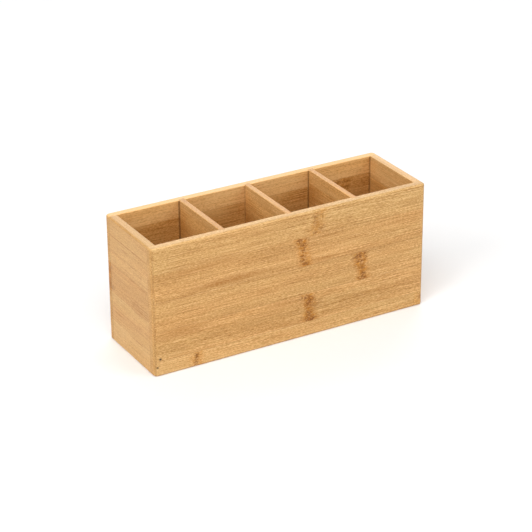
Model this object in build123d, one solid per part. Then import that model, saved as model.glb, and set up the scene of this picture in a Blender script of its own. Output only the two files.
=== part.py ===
from build123d import *
import os

# An open desk box for pens: four equal compartments in a row, made of bamboo boards.
# The frame's origin is the middle of the base, +X runs along the row, +Y runs to the back, +Z is up.
# Every board is glued up from staves, and every stave is a solid of its own in parts/.

# Driving dimensions, in millimetres
LENGTH = 224.0
DEPTH = 71.0
HEIGHT = 98.0
COMPARTMENTS = 4
WALL = 6.5  # thickness of the four wall boards
THIN_BOARD = 4.5  # thickness of the dividers and of the bottom panel
HOUSING = 2.0  # how far a thin board is let into a wall
BOTTOM_LIFT = 2.5  # from the base to the underside of the bottom panel
STAVE_WIDTH = 22.4
CORNER_RADIUS = 3.0  # rounding of the four upright corners
OUTER_RADIUS = 1.5  # rounding of the outer arrises around the top and the base
RIM_RADIUS = 0.6  # easing of the compartments' mouths
DRAWN_MARGIN = 1.0  # how far a cutting block runs past what it cuts

# Where the uppermost glue joint of each board lies: a height, or for the bottom panel a Y
TOP_JOINTS = {
    "front_panel": 78.8,
    "back_panel": 85.0,
    "left_end": 85.0,
    "right_end": 81.5,
    "divider_left": 92.5,
    "divider_middle": 83.0,
    "divider_right": 88.0,
    "bottom_panel": 12.0,
}

# Places worked out from the driving dimensions
OUTER_X = LENGTH / 2
OUTER_Y = DEPTH / 2
INNER_X = OUTER_X - WALL
INNER_Y = OUTER_Y - WALL
FLOOR = BOTTOM_LIFT + THIN_BOARD
CELL = (2 * INNER_X - (COMPARTMENTS - 1) * THIN_BOARD) / COMPARTMENTS
CELL_LOWS = [-INNER_X + i * (CELL + THIN_BOARD) for i in range(COMPARTMENTS)]
DIVIDERS = ["divider_left", "divider_middle", "divider_right"]


def block(x, y, z):
    """A rectangular block between the low and high values given for each axis."""
    size = [high - low for low, high in (x, y, z)]
    middle = [(low + high) / 2 for low, high in (x, y, z)]
    return Pos(*middle) * Box(*size)


def sanded_box():
    """The box as one shape after glue-up and sanding. The boards are cut out of it."""
    shape = block((-OUTER_X, OUTER_X), (-OUTER_Y, OUTER_Y), (0, HEIGHT))
    shape = fillet(shape.edges().filter_by(Axis.Z), CORNER_RADIUS)
    arrises = shape.edges().group_by(Axis.Z)
    shape = fillet(arrises[0] + arrises[-1], OUTER_RADIUS)
    for low in CELL_LOWS:
        mouth = HEIGHT + DRAWN_MARGIN
        shape -= block((low, low + CELL), (-INNER_Y, INNER_Y), (FLOOR, mouth))
    shape -= block((-INNER_X, INNER_X), (-INNER_Y, INNER_Y), (-DRAWN_MARGIN, BOTTOM_LIFT))
    rim = shape.edges().filter_by_position(Axis.Z, HEIGHT, HEIGHT)
    rim = rim.filter_by_position(Axis.X, -INNER_X, INNER_X)
    rim = rim.filter_by_position(Axis.Y, -INNER_Y, INNER_Y)
    return fillet(rim, RIM_RADIUS)


def thin_boards():
    """Cutting blocks of the bottom panel and the dividers, with the edges that are housed."""
    housed_y = (-INNER_Y - HOUSING, INNER_Y + HOUSING)
    housed_x = (-INNER_X - HOUSING, INNER_X + HOUSING)
    boards = {"bottom_panel": block(housed_x, housed_y, (BOTTOM_LIFT, FLOOR))}
    for name, cell_low in zip(DIVIDERS, CELL_LOWS[1:]):
        boards[name] = block((cell_low - THIN_BOARD, cell_low), housed_y, (FLOOR, HEIGHT))
    return boards


def wall_boards():
    """Cutting blocks of the walls. The ends stand between the front and the back panel."""
    full = (-OUTER_X, OUTER_X)
    between = (-INNER_Y, INNER_Y)
    height = (0, HEIGHT)
    return {
        "front_panel": block(full, (-OUTER_Y, -INNER_Y), height),
        "back_panel": block(full, (INNER_Y, OUTER_Y), height),
        "left_end": block((-OUTER_X, -INNER_X), between, height),
        "right_end": block((INNER_X, OUTER_X), between, height),
    }


def cut_boards():
    """Every board as a finished shape. The walls have grooves where thin boards are housed."""
    whole = sanded_box()
    thin = thin_boards()
    boards = {name: whole & cutter for name, cutter in thin.items()}
    for name, cutter in wall_boards().items():
        board = whole & cutter
        for housed in thin.values():
            board -= housed
        boards[name] = board
    return boards


def staves(board, axis, top_joint):
    """Cuts a board into its staves, the uppermost first, with joints square to the axis."""
    box = board.bounding_box()
    low = [box.min.X, box.min.Y, box.min.Z]
    high = [box.max.X, box.max.Y, box.max.Z]
    cuts = [high[axis]]
    joint = top_joint
    while joint > low[axis]:
        cuts.append(joint)
        joint -= STAVE_WIDTH
    cuts.append(low[axis])
    pieces = []
    for upper, lower in zip(cuts, cuts[1:]):
        spans = list(zip(low, high))
        spans[axis] = (lower, upper)
        pieces.append((board & block(*spans)).solid())
    return pieces


os.makedirs("parts", exist_ok=True)
for board_name, board in cut_boards().items():
    split_axis = 1 if board_name == "bottom_panel" else 2
    for number, stave in enumerate(staves(board, split_axis, TOP_JOINTS[board_name]), 1):
        export_step(stave, f"parts/{board_name}_stave_{number}.step")
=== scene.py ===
import math
import random

import bmesh
import bpy
from mathutils import Matrix, Vector


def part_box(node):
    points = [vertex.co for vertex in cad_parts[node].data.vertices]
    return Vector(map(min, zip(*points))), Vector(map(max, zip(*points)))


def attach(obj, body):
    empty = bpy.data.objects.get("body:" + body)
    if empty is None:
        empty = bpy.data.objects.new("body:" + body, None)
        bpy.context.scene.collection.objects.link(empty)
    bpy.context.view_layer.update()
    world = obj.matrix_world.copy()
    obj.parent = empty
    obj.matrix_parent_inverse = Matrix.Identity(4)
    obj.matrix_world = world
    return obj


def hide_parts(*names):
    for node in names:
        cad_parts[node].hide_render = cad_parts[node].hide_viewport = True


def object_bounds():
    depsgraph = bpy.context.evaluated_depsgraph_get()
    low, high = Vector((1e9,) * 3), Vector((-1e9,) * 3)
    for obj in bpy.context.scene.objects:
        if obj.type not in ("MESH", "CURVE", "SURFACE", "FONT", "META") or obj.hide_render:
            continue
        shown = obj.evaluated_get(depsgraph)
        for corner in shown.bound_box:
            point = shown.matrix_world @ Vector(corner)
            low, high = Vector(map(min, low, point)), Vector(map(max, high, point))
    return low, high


# Looks of the bamboo desk box. Metres, in the CAD frame: +X along the row of compartments,
# +Y to the back, +Z up. Every stave is rebuilt from its CAD solid and rides on the one body.

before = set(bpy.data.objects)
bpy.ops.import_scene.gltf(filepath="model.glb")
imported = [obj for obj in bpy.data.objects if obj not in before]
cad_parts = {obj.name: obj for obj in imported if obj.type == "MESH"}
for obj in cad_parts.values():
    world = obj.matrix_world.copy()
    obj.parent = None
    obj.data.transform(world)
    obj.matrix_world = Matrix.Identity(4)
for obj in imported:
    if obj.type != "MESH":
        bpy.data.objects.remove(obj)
cad_low, cad_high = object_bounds()

MM = 0.001
MM_PER_M = 1000.0
BODY = "root"
GLUE_SLOT = 1  # material slot of the fine bevel along glued edges

# Camera
AZIMUTH = math.radians(-29.9)
ELEVATION = math.radians(25.6)
ROLL = math.radians(-0.36)
DISTANCE = 1.45
LENS_MM = 135.3
AIM_RIGHT = -1.6 * MM
AIM_UP = -4.2 * MM

# Mesh clean-up
WELD = 0.001 * MM
FLAT = math.radians(1.0)
SQUARE = math.radians(60.0)
GLUE_BEVEL = 0.07 * MM

# Grain directions of each board: along the stave, across its width, through its thickness
BOARDS = {
    "front_panel": "XZY",
    "back_panel": "XZY",
    "left_end": "YZX",
    "right_end": "YZX",
    "divider_left": "YZX",
    "divider_middle": "YZX",
    "divider_right": "YZX",
    "bottom_panel": "XYZ",
}

# Colours
NODE_BROWN = (0.20, 0.058, 0.0)
NODE_HAZE = (0.87, 0.63, 0.18)
HOLE_BROWN = (0.06, 0.022, 0.005)
GLUE_BROWN = (0.12, 0.042, 0.004)
# Brown of the streaks, also used for the painted shade in the compartments
STREAK_AND_SHADE_BROWN = (0.38, 0.150, 0.025)
# Light brown of the painted light high on the back panel
PAINTED_LIGHT_BROWN = (0.66, 0.38, 0.14)
GLUE_DARK = (0.30, 0.135, 0.040)
GLUE_LIGHT = (0.48, 0.25, 0.09)
PAPER_WHITE = (0.96, 0.96, 0.96)
SKY_WHITE = (1.0, 1.0, 1.0)
# Colour of the rim against the faces below it, for the boards whose name holds that word;
# partly the rim's own colour, partly a painted highlight on the faces that point up
RIM_AND_HIGHLIGHT_TINTS = {"panel": (1.09, 1.10, 1.13), "divider": (0.90, 0.81, 0.68)}

# Colour ramps: the bamboo from dark to light, and its tint from cool to warm
BAMBOO_RAMP = [
    (0.0, (0.290, 0.112, 0.019)),
    (0.30, (0.435, 0.208, 0.054)),
    (0.55, (0.560, 0.308, 0.102)),
    (0.80, (0.660, 0.388, 0.150)),
    (1.0, (0.780, 0.500, 0.225)),
]
TINT_RAMP = [(0.3, (0.98, 1.01, 0.99)), (0.7, (1.02, 0.98, 0.93)), (1.0, (1.06, 0.96, 0.80))]

# Layers of the grain: length and width in millimetres, detail and roughness, then weight
GRAIN_LAYERS = {
    "broad": ((200.0, 12.0, 1.0, 0.5), 0.42),
    "streak": ((110.0, 0.65, 2.0, 0.55), 0.55),
    "thread": ((30.0, 0.45, 1.0, 0.5), 1.1),
    "grit": ((1.8, 0.40, 1.0, 0.5), 1.45),
}
BUNDLE_SIZE = (9.0, 0.55, 0.55)  # a bundle of fibre, in millimetres
SEED_STEP = (61.0, 17.0, 29.0)  # how far the texture moves for each unit of seed, in millimetres
# Place of plain wood on the bamboo ramp, and what tone, end grain, rim and bundles add to it;
# the rim's lift is partly its own colour and partly a painted highlight
PLAIN_LEVEL = 0.54
TONE_LEVEL = 0.16
END_LEVEL = -0.03
RIM_AND_HIGHLIGHT_LEVEL = 0.12
BUNDLE_LEVEL = -0.12
WARMTH_SHARE = 0.35  # how far a stave's warmth moves it along the tint ramp

# Lacquer and relief of the bamboo
COAT_WEIGHT = 0.1
COAT_ROUGHNESS = 0.35
SPECULAR_LEVEL = 0.28
GLUE_ROUGHNESS = 0.6
RELIEF = 0.25
RELIEF_DEPTH = 0.05 * MM
END_BOARD_FIGURE = 0.62  # how strongly the grain shows on the two ends, against 1 elsewhere

# Raggedness of the marks, 0 for a clean oval, and how deep or wide they reach in millimetres
STREAK_FRAY = 0.7
NODE_FRAY = 1.3
LINE_FRAY = 0.3
THROUGH_BOARD = 500.0
ACROSS_BOARD = 200.0
FACE_DEPTH = 1.5

# Studio
FLOOR_HALF = 6.0
FLOOR_GAP = 0.05 * MM
SKY_STRENGTH = 0.3
PAPER_ROUGHNESS = 0.9
# Softboxes: name, place, side of the square, power
LAMPS = [
    ("key", (-0.59, -0.70, 1.36), 1.0, 13.5),
    ("left", (-1.34, -0.36, 0.85), 1.0, 10.3),
    ("right", (0.89, -1.06, 0.85), 1.0, 7.9),
    ("back", (0.78, 1.35, 0.95), 1.6, 15.4),
]

# Lightness and warmth of single staves, against plain wood at 0. On the back panel, the dividers
# and the right end they are partly painted light: upper staves lighter and all of them warmer,
# for the light falling into the compartments and the warm shade inside them
TONES_AND_PAINTED_LIGHT = {
    "front_panel_stave_1": (0.4, -0.3),
    "front_panel_stave_2": (-0.1, 0.1),
    "front_panel_stave_3": (0.1, 0.0),
    "front_panel_stave_4": (0.05, 0.1),
    "front_panel_stave_5": (0.75, -0.3),
    # From here to the right end, partly painted light: upper staves lighter, all warmer
    "back_panel_stave_1": (2.5, 1.2),
    "back_panel_stave_2": (0.15, 1.5),
    "back_panel_stave_3": (0.0, 1.2),
    "back_panel_stave_4": (-0.2, 0.9),
    "back_panel_stave_5": (0.1, 0.8),
    "divider_left_stave_1": (1.3, 0.8),
    "divider_left_stave_2": (1.1, 1.2),
    "divider_middle_stave_1": (1.1, 1.0),
    "divider_middle_stave_2": (0.2, 1.2),
    "divider_right_stave_1": (1.1, 1.0),
    "divider_right_stave_2": (0.4, 1.4),
    "right_end_stave_1": (1.6, 0.8),
    "right_end_stave_2": (0.2, 1.2),
    "left_end_stave_1": (0.1, 0.0),
    "left_end_stave_2": (0.25, 0.0),
    "left_end_stave_3": (-0.3, 0.2),
    "left_end_stave_4": (0.35, 0.0),
    "left_end_stave_5": (0.9, -0.2),
}
# Bamboo nodes: place along the stave and slant, in millimetres, and strength of the haze around
KNUCKLES = {
    "front_panel_stave_1": [(20.5, 3.0, 0.6)],
    "front_panel_stave_2": [(8.5, -2.5, 1.0)],
    "front_panel_stave_3": [(57.5, -2.0, 1.0)],
    "front_panel_stave_4": [(13.5, -1.0, 1.0)],
    "front_panel_stave_5": [(-78.5, 0.0, 0.6), (109.5, 0.0, 0.6)],
    "back_panel_stave_2": [(82.0, 2.0, 0.5)],
    "back_panel_stave_3": [(-112.0, 0.0, 1.0)],
    "back_panel_stave_4": [(34.0, 2.0, 0.9)],
    "back_panel_stave_5": [(-58.0, 1.0, 0.7)],
    "right_end_stave_3": [(-12.0, 1.5, 0.8)],
    "divider_middle_stave_4": [(8.0, 1.0, 0.7)],
    "bottom_panel_stave_2": [(-36.0, 2.0, 0.8)],
}
# Dark marks in a node: centre along and across, half length, half width in millimetres, strength
MARKS = {
    "front_panel_stave_1": [
        (18.3, 93.0, 3.8, 2.2, 0.7),
        (18.5, 88.0, 3.2, 4.2, 0.45),
        (23.5, 83.5, 4.0, 3.8, 0.55),
        (18.0, 80.6, 2.8, 2.0, 0.55),
        (24.3, 93.0, 0.6, 7.5, 0.4),
    ],
    "front_panel_stave_2": [
        (5.0, 77.0, 3.2, 2.8, 1.0),
        (8.3, 73.3, 4.2, 2.2, 0.9),
        (11.8, 77.2, 2.8, 1.8, 0.6),
        (8.8, 69.3, 3.0, 2.8, 0.8),
        (7.6, 64.6, 3.5, 2.0, 0.95),
        (7.6, 61.6, 3.2, 1.9, 0.9),
        (10.2, 58.4, 4.0, 2.2, 1.0),
    ],
    "front_panel_stave_3": [
        (55.6, 53.4, 4.0, 3.2, 1.0),
        (60.5, 54.6, 4.2, 1.4, 0.95),
        (51.5, 52.6, 3.8, 1.8, 0.7),
        (61.4, 51.6, 3.0, 1.5, 0.8),
        (57.0, 49.4, 5.0, 1.4, 1.0),
        (57.8, 44.5, 3.2, 4.5, 0.75),
        (59.0, 38.6, 3.2, 3.2, 1.0),
        (58.4, 35.6, 5.2, 1.8, 1.0),
    ],
    "front_panel_stave_4": [
        (10.0, 31.4, 6.8, 2.5, 0.85),
        (15.0, 29.0, 4.2, 2.5, 0.9),
        (12.6, 25.6, 4.2, 4.2, 0.85),
        (18.5, 23.6, 7.5, 4.2, 0.4),
        (13.4, 17.6, 3.8, 3.8, 0.9),
        (11.0, 13.4, 3.2, 2.0, 0.7),
        (15.6, 13.0, 5.2, 2.2, 1.0),
    ],
    "front_panel_stave_5": [
        (-78.8, 8.6, 2.4, 4.2, 1.0),
        (-79.4, 3.6, 2.4, 3.0, 0.9),
        (110.4, 7.0, 2.8, 3.2, 0.7),
    ],
    "back_panel_stave_2": [
        (77.0, 82.6, 3.6, 2.0, 0.7),
        (84.0, 82.4, 5.0, 1.8, 0.8),
        (86.0, 78.0, 3.4, 2.4, 0.6),
        (80.0, 77.6, 4.6, 1.8, 0.5),
    ],
    "back_panel_stave_3": [(-110.5, 57.0, 5.0, 5.0, 0.7), (-110.5, 46.5, 5.0, 5.6, 0.65)],
    "left_end_stave_3": [
        (27.4, 59.0, 2.4, 2.4, 0.45),
        (28.2, 52.0, 1.8, 4.6, 0.35),
        (27.2, 43.6, 3.4, 2.8, 0.6),
    ],
}
# Painted light: lighter patches high on the back panel's second stave, where light reaches down
# into the compartments, given the same way
PAINTED_LIGHT_PATCHES = {
    "back_panel_stave_2": [
        (-36.0, 84.0, 24.0, 9.0, 0.75),
        (-20.0, 80.0, 12.0, 5.0, 0.4),
        (12.0, 84.0, 26.0, 8.0, 0.7),
        (-92.0, 84.0, 14.0, 3.0, 0.4),
    ],
}
# Darker streaks in the grain, lines along joints, and painted shade low towards the back of the
# dividers and the right end, given the same way
STREAKS_AND_SHADE = {
    "front_panel_stave_1": [(-70.0, 80.0, 38.0, 1.4, 0.5)],
    "front_panel_stave_2": [
        (-48.0, 61.0, 40.0, 3.4, 0.75),
        (-72.0, 75.4, 40.0, 2.2, 0.4),
        (24.0, 76.0, 14.0, 1.0, 0.5),
        (24.0, 59.0, 14.0, 1.6, 0.4),
    ],
    "front_panel_stave_4": [(-88.0, 29.5, 28.0, 4.5, 0.4), (-10.0, 31.0, 16.0, 2.0, 0.35)],
    "left_end_stave_2": [(0.0, 84.7, 60.0, 0.6, 1.0), (7.0, 80.0, 7.0, 0.7, 0.8)],
    "left_end_stave_3": [
        (-5.0, 61.9, 8.0, 0.7, 0.85),
        (-22.0, 61.6, 7.0, 0.7, 0.85),
        (-10.0, 45.6, 14.0, 0.6, 0.85),
        (-17.0, 42.4, 12.0, 0.6, 0.8),
    ],
    "left_end_stave_4": [(-12.0, 39.4, 16.0, 0.7, 0.8), (18.0, 25.5, 12.0, 0.8, 0.8)],
    "left_end_stave_5": [(-10.0, 16.6, 13.0, 0.8, 0.8)],
    # Painted shade: darker low towards the back of the compartments, where less light reaches
    "divider_left_stave_2": [(31.0, 77.0, 25.0, 17.0, 0.9)],
    "divider_middle_stave_1": [(31.0, 80.0, 24.0, 11.0, 0.7)],
    "divider_middle_stave_2": [(31.0, 74.0, 27.0, 14.0, 0.7)],
    "divider_right_stave_2": [(31.0, 79.0, 25.0, 15.0, 0.8)],
    "right_end_stave_1": [(31.0, 79.0, 26.0, 9.0, 0.5)],
}

# Lines across every stave where the board meets another: place along, half width, strength
EDGES = {
    "front_panel": [(-110.8, 0.9, 0.25)],
    "left_end": [(-29.2, 0.5, 0.35), (29.2, 0.5, 0.25)],
    "right_end": [(28.7, 0.7, 0.6)],
    "divider_left": [(28.7, 0.8, 0.7)],
    "divider_middle": [(28.8, 0.5, 0.25)],
    "divider_right": [(28.7, 0.7, 0.6)],
}
# The same on the inner face of the back panel, beside the boards that meet it
BACK_FACE = 29.0
BACK_EDGES = [(-56.6, 0.7, 0.7), (-2.7, 0.5, 0.25), (51.2, 0.6, 0.6), (105.0, 0.6, 0.55)]
# Pin holes, given as marks
PIN_HOLES = {
    "front_panel_stave_4": [(-107.3, 13.1, 1.4, 1.2, 1.0)],
    "front_panel_stave_5": [(-109.6, 7.0, 1.1, 1.0, 0.9)],
}


class Graph:
    """Adds shader nodes to one tree. What a method returns is an output socket."""

    def __init__(self, tree):
        self.tree = tree

    def node(self, kind, inputs=(), **settings):
        made = self.tree.nodes.new(kind)
        for name, value in settings.items():
            setattr(made, name, value)
        for key, value in dict(inputs).items():
            if isinstance(value, bpy.types.NodeSocket):
                self.tree.links.new(value, made.inputs[key])
            else:
                made.inputs[key].default_value = value
        return made

    def grouped(self, tree, inputs):
        return self.node("ShaderNodeGroup", inputs, node_tree=tree).outputs

    def maths(self, operation, *values, clamp=False):
        inputs = dict(enumerate(values))
        made = self.node("ShaderNodeMath", inputs, operation=operation, use_clamp=clamp)
        return made.outputs[0]

    def vector(self, operation, *values):
        inputs = dict(enumerate(values))
        return self.node("ShaderNodeVectorMath", inputs, operation=operation).outputs[0]

    def scaled(self, vector, factor):
        inputs = {0: vector, "Scale": factor}
        return self.node("ShaderNodeVectorMath", inputs, operation="SCALE").outputs[0]

    def eased(self, value, low, high, to_low=0.0, to_high=1.0):
        """Value from low to high, eased at both ends and limited, given as to_low to to_high."""
        inputs = {0: value, 1: low, 2: high, 3: to_low, 4: to_high}
        made = self.node("ShaderNodeMapRange", inputs, interpolation_type="SMOOTHSTEP")
        return made.outputs[0]

    def blend(self, factor, first, second, kind="MIX"):
        inputs = {0: factor, 6: first, 7: second}
        made = self.node("ShaderNodeMix", inputs, data_type="RGBA", blend_type=kind)
        return made.outputs[2]

    def split(self, vector):
        return self.node("ShaderNodeSeparateXYZ", {0: vector}).outputs

    def noise(self, grain, length, width, detail=2.0, roughness=0.5):
        """Soft noise whose blotches are that long and wide, in millimetres: value and colour."""
        stretched = self.vector("DIVIDE", grain, (length, width, width))
        inputs = {
            "Vector": stretched,
            "Scale": 1.0,
            "Detail": detail,
            "Roughness": roughness,
        }
        return self.node("ShaderNodeTexNoise", inputs).outputs

    def colours(self, value, stops):
        """A colour ramp over (position, colour) stops."""
        made = self.node("ShaderNodeValToRGB", {0: value})
        points = made.color_ramp.elements
        while len(points) < len(stops):
            points.new(0.5)
        for point, (position, colour) in zip(points, stops):
            point.position = position
            point.color = (*colour, 1.0)
        return made.outputs[0]


def new_group(name, inputs, outputs):
    """A node group made from (name, kind, default) inputs and (name, kind) outputs.

    Gives the graph, the sockets that bring its inputs, and the sockets that take its outputs.
    """
    tree = bpy.data.node_groups.new(name, "ShaderNodeTree")
    for label, kind, default in inputs:
        socket = tree.interface.new_socket(label, in_out="INPUT", socket_type=kind)
        if default is not None:
            socket.default_value = default
    for label, kind in outputs:
        tree.interface.new_socket(label, in_out="OUTPUT", socket_type=kind)
    graph = Graph(tree)
    given = graph.node("NodeGroupInput").outputs
    result = graph.node("NodeGroupOutput").inputs
    return graph, given, result


VALUE = "NodeSocketFloat"
VECTOR = "NodeSocketVector"
COLOUR = "NodeSocketColor"


def wood_group():
    """Bamboo as a solid texture: bundles of fibre that show as dashes or, on end grain, as dots."""
    inputs = [
        ("Grain", VECTOR, None),
        ("Seed", VALUE, 0.0),
        ("Tone", VALUE, 0.0),
        ("Warmth", VALUE, 0.0),
        ("Figure", VALUE, 1.0),
        ("End", VALUE, 0.0),
        ("Rim", VALUE, 0.0),
    ]
    outputs = [("Colour", COLOUR), ("Roughness", VALUE), ("Height", VALUE)]
    g, given, result = new_group("bamboo", inputs, outputs)
    place = g.vector("ADD", given["Grain"], g.scaled(SEED_STEP, given["Seed"]))
    wander = g.vector("SUBTRACT", g.noise(place, 120.0, 30.0)[1], (0.5, 0.5, 0.5))
    place = g.vector("ADD", place, g.vector("MULTIPLY", wander, (0.0, 1.2, 1.2)))

    bundle_place = g.vector("DIVIDE", place, BUNDLE_SIZE)
    bundle = g.node("ShaderNodeTexVoronoi", {"Vector": bundle_place, "Scale": 1.0}).outputs[0]
    bundle = g.eased(bundle, 0.10, 0.45, 1.0, 0.0)
    crowd = g.eased(g.noise(place, 60.0, 7.0, 2.0)[0], 0.40, 0.62)
    bundle = g.maths("MULTIPLY", bundle, crowd)

    layers = {name: g.noise(place, *shape)[0] for name, (shape, _) in GRAIN_LAYERS.items()}
    figure = 0.0
    for name, (_, weight) in GRAIN_LAYERS.items():
        centred = g.maths("SUBTRACT", layers[name], 0.5)
        figure = g.maths("MULTIPLY_ADD", centred, weight, figure)
    figure = g.maths("MULTIPLY_ADD", bundle, BUNDLE_LEVEL, figure)
    level = g.maths("MULTIPLY_ADD", figure, given["Figure"], PLAIN_LEVEL)
    level = g.maths("MULTIPLY_ADD", given["Tone"], TONE_LEVEL, level)
    level = g.maths("MULTIPLY_ADD", given["End"], END_LEVEL, level)
    # Faces that point up are lifted: partly the rim's own colour, partly a painted highlight
    level = g.maths("MULTIPLY_ADD", given["Rim"], RIM_AND_HIGHLIGHT_LEVEL, level)
    colour = g.colours(level, BAMBOO_RAMP)
    tint = g.noise(place, 110.0, 12.0, 2.0)[0]
    tint = g.maths("MULTIPLY_ADD", given["Warmth"], WARMTH_SHARE, tint)
    colour = g.blend(1.0, colour, g.colours(tint, TINT_RAMP), "MULTIPLY")

    g.tree.links.new(colour, result["Colour"])
    rough = g.maths("MULTIPLY_ADD", layers["thread"], 0.16, 0.38)
    rough = g.maths("MULTIPLY_ADD", given["End"], 0.12, rough)
    g.tree.links.new(rough, result["Roughness"])
    height = g.maths("MULTIPLY_ADD", bundle, -0.6, layers["thread"])
    g.tree.links.new(height, result["Height"])
    return g.tree


def knuckle_group():
    """A bamboo node across a stave: a slanted olive-brown haze that bends the grain."""
    inputs = [
        ("Grain", VECTOR, None),
        ("At", VALUE, 0.0),
        ("Middle", VALUE, 0.0),
        ("Half width", VALUE, 11.0),
        ("Slant", VALUE, 0.0),
        ("Strength", VALUE, 1.0),
    ]
    outputs = [("Haze", VALUE), ("Grain", VECTOR)]
    g, given, result = new_group("knuckle", inputs, outputs)
    along, across = g.split(given["Grain"])[:2]
    side = g.maths("DIVIDE", g.maths("SUBTRACT", across, given["Middle"]), given["Half width"])
    centre = g.maths("MULTIPLY_ADD", side, given["Slant"], given["At"])
    sway = g.maths("SUBTRACT", g.noise(given["Grain"], 12.0, 4.0, 2.0)[0], 0.5)
    centre = g.maths("MULTIPLY_ADD", sway, 6.0, centre)
    off = g.maths("ABSOLUTE", g.maths("SUBTRACT", along, centre))
    near = g.eased(off, 1.0, 9.0, 1.0, 0.0)
    core = g.eased(off, 1.5, 8.0, 1.0, 0.0)
    blotch = g.eased(g.noise(given["Grain"], 2.6, 1.4, 3.0, 0.65)[0], 0.38, 0.60, 0.2, 1.0)
    haze = g.maths("MULTIPLY", g.maths("MULTIPLY", core, blotch), given["Strength"], clamp=True)
    g.tree.links.new(haze, result["Haze"])
    swirl = g.vector("SUBTRACT", g.noise(given["Grain"], 6.0, 3.0, 2.0)[1], (0.5, 0.5, 0.5))
    swirl = g.scaled(g.vector("MULTIPLY", swirl, (2.0, 5.0, 5.0)), near)
    g.tree.links.new(g.vector("ADD", given["Grain"], swirl), result["Grain"])
    return g.tree


def mark_group():
    """An oval mark along the grain with frayed, speckled edges."""
    inputs = [
        ("Grain", VECTOR, None),
        ("Centre", VECTOR, None),
        ("Reach", VECTOR, None),
        ("Fray", VALUE, 1.0),
        ("Strength", VALUE, 0.5),
    ]
    g, given, result = new_group("mark", inputs, [("Stain", VALUE)])
    fray = g.noise(given["Grain"], 3.0, 0.9, 3.0, 0.6)[1]
    fray = g.vector("SUBTRACT", fray, (0.5, 0.5, 0.5))
    offset = g.vector("SUBTRACT", given["Grain"], given["Centre"])
    offset = g.vector("DIVIDE", offset, given["Reach"])
    offset = g.vector("ADD", offset, g.scaled(fray, given["Fray"]))
    off = g.node("ShaderNodeVectorMath", {0: offset}, operation="LENGTH").outputs["Value"]
    stain = g.maths("MULTIPLY", g.eased(off, 0.2, 1.2, 1.0, 0.0), given["Strength"])
    speckle = g.eased(g.noise(given["Grain"], 1.6, 0.85, 2.0, 0.6)[0], 0.42, 0.55, -0.7, 0.0)
    speckle = g.maths("MULTIPLY_ADD", speckle, given["Fray"], 1.0, clamp=True)
    g.tree.links.new(g.maths("MULTIPLY", stain, speckle, clamp=True), result["Stain"])
    return g.tree


def marked(g, colour, grain, marks, fray, brown, face=0.0, depth=THROUGH_BOARD):
    """The colour with marks of that brown: (along, across, half length, half width, strength)."""
    for along, across, half_length, half_width, strength in marks:
        inputs = {
            "Grain": grain,
            "Centre": (along, across, face),
            "Reach": (half_length, half_width, depth),
            "Fray": fray,
            "Strength": strength,
        }
        stain = g.grouped(mark_tree, inputs)["Stain"]
        colour = g.blend(stain, colour, (*brown, 1.0))
    return colour


def node_marks(seed, at, slant, low, high):
    """Dark marks strewn across a stave along one of its nodes."""
    count = 6
    marks = []
    for step in range(count):
        share = (step + 0.5) / count
        along = at + slant * (2 * share - 1) + seed.uniform(-2.0, 2.0)
        across = low + share * (high - low)
        reach = (seed.uniform(2.5, 4.5), seed.uniform(1.6, 2.6))
        marks.append((along, across, *reach, seed.uniform(0.5, 1.0)))
    return marks


def line_marks(lines, middle):
    """Marks across a whole board, from (place along, half width, strength)."""
    return [(at, middle, reach, ACROSS_BOARD, strength) for at, reach, strength in lines]


def grain_place(g, board):
    """Place in the board's grain directions in millimetres, and masks of end grain and rim."""
    axes = ["XYZ".index(letter) for letter in BOARDS[board]]
    place = g.node("ShaderNodeTexCoord").outputs
    spots = g.split(g.scaled(place["Object"], MM_PER_M))
    inputs = {target: spots[axis] for target, axis in enumerate(axes)}
    grain = g.node("ShaderNodeCombineXYZ", inputs).outputs[0]
    facing = g.split(place["Normal"])
    end = g.eased(g.maths("ABSOLUTE", facing[axes[0]]), 0.45, 0.9)
    # Faces that point up, which carry the painted highlight of the rim
    rim = g.eased(facing["Z"], 0.1, 0.6)
    return grain, end, rim


def bend_at_nodes(g, node, grain, low, high):
    """The grain place bent at the stave's bamboo nodes, and the haze of each node."""
    hazes = []
    for at, slant, strength in KNUCKLES.get(node, []):
        inputs = {
            "Grain": grain,
            "At": at,
            "Middle": (low + high) / 2,
            "Half width": (high - low) / 2,
            "Slant": slant,
            "Strength": strength,
        }
        made = g.grouped(knuckle_tree, inputs)
        grain = made["Grain"]
        hazes.append(made["Haze"])
    return grain, hazes


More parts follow.
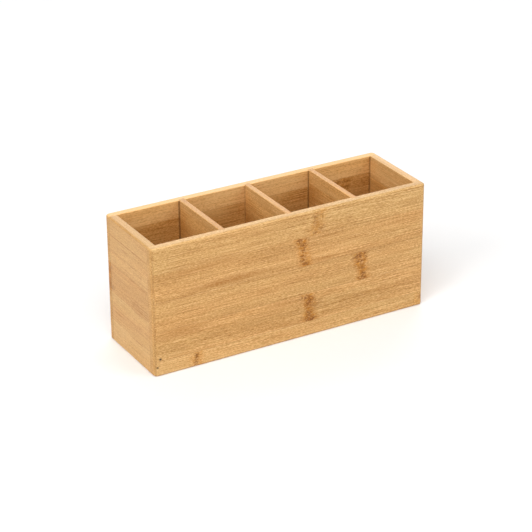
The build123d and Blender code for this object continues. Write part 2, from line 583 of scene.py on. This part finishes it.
def bamboo_material(node, board, seed):
    """The sanded, thinly lacquered bamboo of one stave."""
    material = bpy.data.materials.new(f"bamboo_{node}")
    material.use_nodes = True
    g = Graph(material.node_tree)
    shader = material.node_tree.nodes["Principled BSDF"]
    shader.inputs["Coat Weight"].default_value = COAT_WEIGHT
    shader.inputs["Coat Roughness"].default_value = COAT_ROUGHNESS
    shader.inputs["Specular IOR Level"].default_value = SPECULAR_LEVEL

    true_grain, end, rim = grain_place(g, board)
    across = "XYZ".index(BOARDS[board][1])
    low, high = (corner[across] * MM_PER_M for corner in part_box(node))
    grain, hazes = bend_at_nodes(g, node, true_grain, low, high)
    if node in MARKS:
        marks = MARKS[node]
    else:
        marks = []
        for at, slant, _ in KNUCKLES.get(node, []):
            marks += node_marks(seed, at, slant, low, high)
    # The listed tones carry painted light on the back panel, the dividers and the right end
    tone, warmth = TONES_AND_PAINTED_LIGHT.get(node, (seed.uniform(-0.3, 0.3), seed.uniform(-0.4, 0.4)))
    beside = g.maths("SUBTRACT", 1.0, end)
    inputs = {
        "Grain": grain,
        "Seed": seed.uniform(0, 20),
        "Tone": g.maths("MULTIPLY", beside, tone),
        "Warmth": g.maths("MULTIPLY", beside, warmth),
        "Figure": END_BOARD_FIGURE if board.endswith("_end") else 1.0,
        "End": end,
        "Rim": rim,
    }
    wood = g.grouped(wood_tree, inputs)
    colour = wood["Colour"]
    # Painted highlight on faces that point up, tinted for each kind of board; partly the rim's own
    # colour
    for word, tint in RIM_AND_HIGHLIGHT_TINTS.items():
        if word in board:
            colour = g.blend(rim, colour, (*tint, 1.0), "MULTIPLY")
    under = g.maths("MULTIPLY_ADD", rim, -0.7, 1.0)
    for haze in hazes:
        haze = g.maths("MULTIPLY", haze, under)
        colour = g.blend(haze, colour, (*NODE_HAZE, 1.0), "MULTIPLY")

    painted_light_patches = PAINTED_LIGHT_PATCHES.get(node, [])
    streaks_and_shade = STREAKS_AND_SHADE.get(node, [])
    edges = line_marks(EDGES.get(board, []), low)
    corners = line_marks(BACK_EDGES if board == "back_panel" else [], low)
    # Painted light high on the back panel's inner face
    colour = marked(g, colour, true_grain, painted_light_patches, STREAK_FRAY, PAINTED_LIGHT_BROWN)
    # Streaks in the grain, and painted shade low in the compartments
    colour = marked(g, colour, true_grain, streaks_and_shade, STREAK_FRAY, STREAK_AND_SHADE_BROWN)
    colour = marked(g, colour, true_grain, marks, NODE_FRAY, NODE_BROWN)
    unlined = colour
    colour = marked(g, colour, true_grain, edges, LINE_FRAY, GLUE_BROWN)
    colour = marked(g, colour, true_grain, corners, LINE_FRAY, GLUE_BROWN, BACK_FACE, FACE_DEPTH)
    colour = g.blend(rim, colour, unlined)
    colour = marked(g, colour, true_grain, PIN_HOLES.get(node, []), 0.0, HOLE_BROWN)
    g.tree.links.new(colour, shader.inputs["Base Color"])
    g.tree.links.new(wood["Roughness"], shader.inputs["Roughness"])
    relief = {"Height": wood["Height"], "Strength": RELIEF, "Distance": RELIEF_DEPTH}
    bump = g.node("ShaderNodeBump", relief)
    g.tree.links.new(bump.outputs[0], shader.inputs["Normal"])
    return material


def glue_material():
    """The thin brown line of a glue joint."""
    material = bpy.data.materials.new("glue_line")
    material.use_nodes = True
    g = Graph(material.node_tree)
    shader = material.node_tree.nodes["Principled BSDF"]
    place = g.scaled(g.node("ShaderNodeTexCoord").outputs["Object"], MM_PER_M)
    patchy = g.noise(place, 6.0, 6.0, 3.0)[0]
    colour = g.colours(patchy, [(0.35, GLUE_DARK), (0.65, GLUE_LIGHT)])
    g.tree.links.new(colour, shader.inputs["Base Color"])
    shader.inputs["Roughness"].default_value = GLUE_ROUGHNESS
    return material


def wood_piece(node):
    """A stave rebuilt from its CAD solid, with clean faces and a fine bevel along glued edges."""
    shape = bmesh.new()
    shape.from_mesh(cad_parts[node].data)
    bmesh.ops.remove_doubles(shape, verts=shape.verts[:], dist=WELD)
    bmesh.ops.dissolve_limit(
        shape, angle_limit=FLAT, verts=shape.verts[:], edges=shape.edges[:]
    )
    glued = [edge for edge in shape.edges if edge.calc_face_angle(0.0) > SQUARE]
    bmesh.ops.bevel(
        shape,
        geom=glued,
        offset=GLUE_BEVEL,
        offset_type="OFFSET",
        segments=2,
        profile=0.5,
        affect="EDGES",
        clamp_overlap=True,
        material=GLUE_SLOT,
    )
    for face in shape.faces:
        face.smooth = True
    mesh = bpy.data.meshes.new(f"{node}_wood")
    shape.to_mesh(mesh)
    shape.free()
    piece = bpy.data.objects.new(f"{node}_wood", mesh)
    bpy.context.scene.collection.objects.link(piece)
    evened = piece.modifiers.new("even shading", "WEIGHTED_NORMAL")
    evened.keep_sharp = True
    return piece


def add_pieces():
    glue = glue_material()
    for number, node in enumerate(sorted(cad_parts)):
        board = node.rsplit("_stave_", 1)[0]
        piece = wood_piece(node)
        piece.data.materials.append(bamboo_material(node, board, random.Random(number)))
        piece.data.materials.append(glue)
        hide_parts(node)
        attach(piece, BODY)


def add_camera():
    back = Vector(
        (
            math.sin(AZIMUTH) * math.cos(ELEVATION),
            -math.cos(AZIMUTH) * math.cos(ELEVATION),
            math.sin(ELEVATION),
        )
    )
    level = Vector((math.cos(AZIMUTH), math.sin(AZIMUTH), 0.0))
    up = back.cross(level)
    place = (cad_low + cad_high) / 2 + back * DISTANCE + level * AIM_RIGHT + up * AIM_UP
    right = level * math.cos(ROLL) + up * math.sin(ROLL)
    top = up * math.cos(ROLL) - level * math.sin(ROLL)
    lens = bpy.data.cameras.new("camera")
    lens.lens = LENS_MM
    camera = bpy.data.objects.new("camera", lens)
    turn = Matrix((right, top, back)).transposed().to_4x4()
    camera.matrix_world = Matrix.Translation(place) @ turn
    bpy.context.scene.collection.objects.link(camera)
    bpy.context.scene.camera = camera


def add_light(name, place, size, power):
    """A square softbox that faces the middle of the box."""
    data = bpy.data.lights.new(name, "AREA")
    data.shape = "SQUARE"
    data.size = size
    data.energy = power
    lamp = bpy.data.objects.new(name, data)
    place = Vector(place)
    lamp.location = place
    aim = (cad_low + cad_high) / 2 - place
    lamp.rotation_mode = "QUATERNION"
    lamp.rotation_quaternion = aim.to_track_quat("-Z", "Y")
    bpy.context.scene.collection.objects.link(lamp)


def add_floor():
    floor_mesh = bpy.data.meshes.new("floor")
    turns = [(-1, -1), (1, -1), (1, 1), (-1, 1)]
    corners = [(x * FLOOR_HALF, y * FLOOR_HALF, 0) for x, y in turns]
    floor_mesh.from_pydata(corners, [], [(0, 1, 2, 3)])
    floor = bpy.data.objects.new("floor", floor_mesh)
    floor.location.z = cad_low.z - FLOOR_GAP
    bpy.context.scene.collection.objects.link(floor)
    paper = bpy.data.materials.new("paper")
    paper.use_nodes = True
    shader = paper.node_tree.nodes["Principled BSDF"]
    shader.inputs["Base Color"].default_value = (*PAPER_WHITE, 1.0)
    shader.inputs["Roughness"].default_value = PAPER_ROUGHNESS
    floor_mesh.materials.append(paper)


def add_lighting():
    world = bpy.data.worlds.new("studio")
    world.use_nodes = True
    sky = world.node_tree.nodes["Background"]
    sky.inputs["Color"].default_value = (*SKY_WHITE, 1.0)
    sky.inputs["Strength"].default_value = SKY_STRENGTH
    bpy.context.scene.world = world
    for name, place, size, power in LAMPS:
        add_light(name, place, size, power)
    bpy.context.scene.view_settings.view_transform = "Standard"


wood_tree = wood_group()
knuckle_tree = knuckle_group()
mark_tree = mark_group()
add_camera()
add_floor()
add_lighting()
add_pieces()
